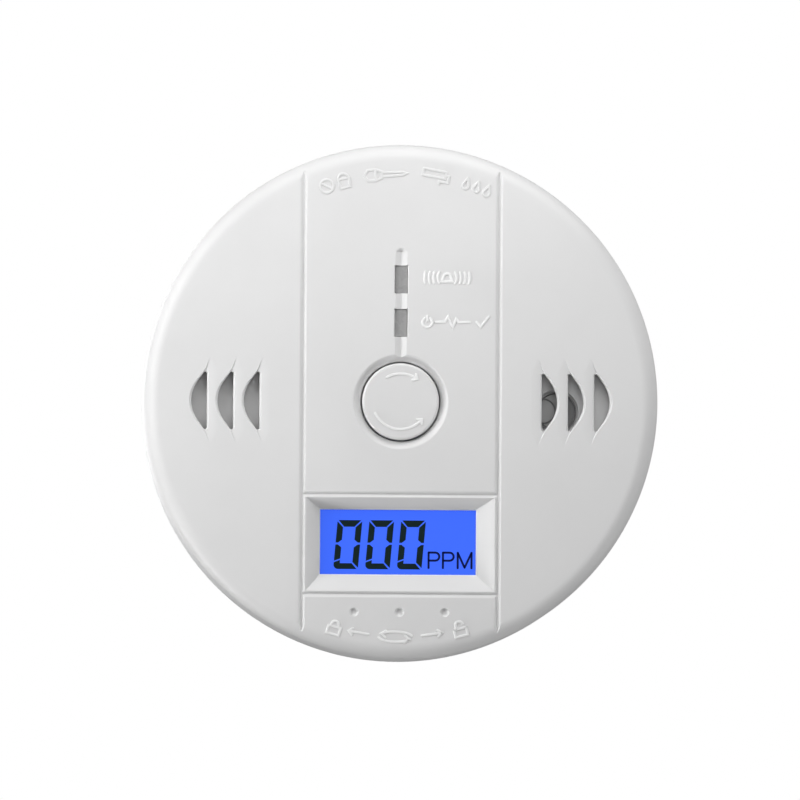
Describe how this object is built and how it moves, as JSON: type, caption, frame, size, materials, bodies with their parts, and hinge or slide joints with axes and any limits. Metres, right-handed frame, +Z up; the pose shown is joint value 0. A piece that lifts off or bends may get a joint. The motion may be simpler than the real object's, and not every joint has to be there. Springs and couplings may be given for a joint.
{
  "type": "carbon monoxide detector",
  "caption": "Round wall-hung carbon monoxide detector with a push button, a backlit display, lamp windows and crescent vents, on a twist-lock base.",
  "frame": {"origin": "centre of the wall base's back face, on the wall plane", "axes": "+Z up as it hangs, +Y into the wall, -Y out of the front face, +X to the right seen from the front"},
  "size_m": [0.1, 0.037, 0.1],
  "materials": {
    "cover_white": "fine moulded satin",
    "rear_white": "fine moulded satin",
    "base_white": "moulded satin",
    "button_white": "smooth satin",
    "smoked_window": "smoked translucent",
    "lamp_clear": "clear lens",
    "display_glass": "backlit blue display glass with dark segments",
    "display_frame": "moulded",
    "light_guide": "frosted",
    "connector_rubber": "matte",
    "board_green": "solder mask",
    "part_black": "moulded",
    "switch_black": "moulded",
    "capacitor_sleeve": "shrunk sleeve",
    "sensor_grey": "moulded",
    "sensor_filter": "porous disc",
    "sounder_grey": "moulded",
    "piezo_brass": "satin",
    "lead_red": "smooth sleeve",
    "lead_black": "smooth sleeve",
    "cell_wrap": "plain printed sleeve",
    "contact_nickel": "nickel plated",
    "spring_steel": "nickel plated wire",
    "screw_steel": "zinc plated"
  },
  "bodies": {
    "wall_base": {"mounting_base": "base_white"},
    "detector": {"rear_housing": "rear_white", "front_cover": "cover_white", "test_switch": "switch_black", "alarm_light_pipe": "smoked_window", "operate_light_pipe": "smoked_window", "alarm_led": "lamp_clear", "operate_led": "lamp_clear", "lcd_glass": "display_glass", "lcd_frame": "display_frame", "lcd_backlight": "light_guide", "lcd_connector": "connector_rubber", "main_pcb": "board_green", "mcu_chip": "part_black", "sounder_transformer": "part_black", "smoothing_capacitor": "capacitor_sleeve", "co_sensor_body": "sensor_grey", "co_sensor_filter": "sensor_filter", "sounder_housing": "sounder_grey", "piezo_disc": "piezo_brass", "sounder_lead_red": "lead_red", "sounder_lead_black": "lead_black", "battery_1": "cell_wrap", "battery_spring_1": "spring_steel", "battery_2": "cell_wrap", "battery_spring_2": "spring_steel", "battery_3": "cell_wrap", "battery_spring_3": "spring_steel", "contact_positive": "contact_nickel", "contact_negative": "contact_nickel", "contact_bridge_left": "contact_nickel", "contact_bridge_right": "contact_nickel", "case_screw_1": "screw_steel", "pcb_screw_1": "screw_steel", "case_screw_2": "screw_steel", "pcb_screw_2": "screw_steel", "case_screw_3": "screw_steel", "pcb_screw_3": "screw_steel", "case_screw_4": "screw_steel", "pcb_screw_4": "screw_steel"},
    "button": {"test_button": "button_white", "switch_plunger": "switch_black"}
  },
  "joints": [
    {"name": "twist_lock", "type": "hinge", "parent": "wall_base", "child": "detector", "pos_m": [0, 0, 0], "axis": [0, -1, 0], "range_deg": [0, 22]},
    {"name": "test_press", "type": "slide", "parent": "detector", "child": "button", "axis": [0, 1, 0], "range_m": [0, 0.0008], "stiffness_N_per_m": 1500, "springref_m": -0.0005}
  ]
}
